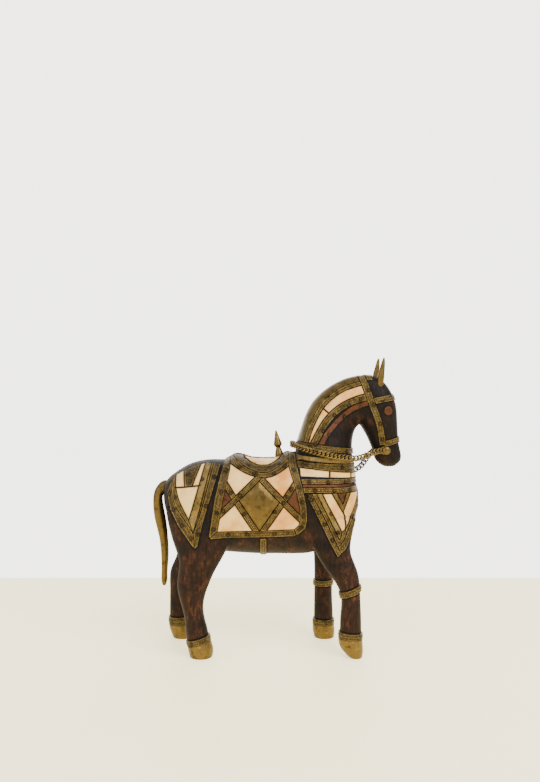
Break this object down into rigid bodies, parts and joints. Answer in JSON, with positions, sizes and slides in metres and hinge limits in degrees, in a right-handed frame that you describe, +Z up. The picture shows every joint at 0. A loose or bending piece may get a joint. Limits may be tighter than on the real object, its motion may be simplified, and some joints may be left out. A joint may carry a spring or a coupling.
{
  "type": "carved wooden horse figurine",
  "caption": "Standing carved wooden horse clad in embossed brass, copper and bone tiles, with saddle, brass ears, tail, hooves and a lifting chain rein.",
  "frame": {"origin": "middle of the horse's length and width, on the surface its four hooves stand on", "axes": "+X the way the horse looks, +Y its left side, +Z up"},
  "size_m": [0.1732, 0.0602, 0.201],
  "materials": {
    "dark_wood": "dark lacquer, rubbed red-brown on the legs",
    "bone": "satin, stained orange in places",
    "copper": "aged copper",
    "smooth_brass": "aged, smooth",
    "hoof_brass": "aged, smooth, yellower",
    "chain_brass": "aged, rubbed bright on the outside",
    "nail_brass": "aged, domed heads",
    "embossed_brass": "aged, embossed with dots and florets"
  },
  "bodies": {
    "horse": {"bit_stud_left": "smooth_brass", "bit_stud_right": "smooth_brass", "brass_pins": "nail_brass", "browband": "embossed_brass", "carved_body": "dark_wood", "cheek_strap": "embossed_brass", "chest_bone_left": "bone", "chest_bone_right": "bone", "chest_copper": "copper", "chest_strips_left": "embossed_brass", "chest_strips_right": "embossed_brass", "collar_band_1": "embossed_brass", "collar_band_2": "embossed_brass", "collar_band_3": "embossed_brass", "collar_band_4": "embossed_brass", "collar_bone": "bone", "collar_copper": "copper", "ear_left": "smooth_brass", "ear_right": "smooth_brass", "eye_left": "copper", "eye_right": "copper", "finial": "smooth_brass", "girth_strap": "embossed_brass", "hoof_collar_front_left": "embossed_brass", "hoof_collar_front_right": "embossed_brass", "hoof_collar_rear_left": "embossed_brass", "hoof_collar_rear_right": "embossed_brass", "hoof_sleeve_front_left": "hoof_brass", "hoof_sleeve_front_right": "hoof_brass", "hoof_sleeve_rear_left": "hoof_brass", "hoof_sleeve_rear_right": "hoof_brass", "knee_band_front_left": "embossed_brass", "knee_band_front_right": "embossed_brass", "mane_cap": "smooth_brass", "neck_arc_left": "embossed_brass", "neck_arc_right": "embossed_brass", "neck_bone_left": "bone", "neck_bone_right": "bone", "neck_copper": "copper", "neck_edge": "embossed_brass", "noseband": "embossed_brass", "rump_bone_left": "bone", "rump_bone_right": "bone", "rump_strips_left": "embossed_brass", "rump_strips_right": "embossed_brass", "saddle_bone_left": "bone", "saddle_bone_right": "bone", "saddle_copper": "copper", "saddle_crescent": "embossed_brass", "saddle_diamond": "smooth_brass", "saddle_frame_left": "embossed_brass", "saddle_frame_right": "embossed_brass", "saddle_lattice_left": "embossed_brass", "saddle_lattice_right": "embossed_brass", "saddle_ridge": "embossed_brass", "saddle_seat": "bone", "tail": "smooth_brass"},
    "reins": {"rein_chain": "chain_brass"}
  },
  "joints": [
    {"name": "rein_lift", "type": "hinge", "parent": "horse", "child": "reins", "pos_m": [0.07489, -0.0001, 0.1372], "axis": [0, 1, 0], "range_deg": [0, 10]}
  ]
}
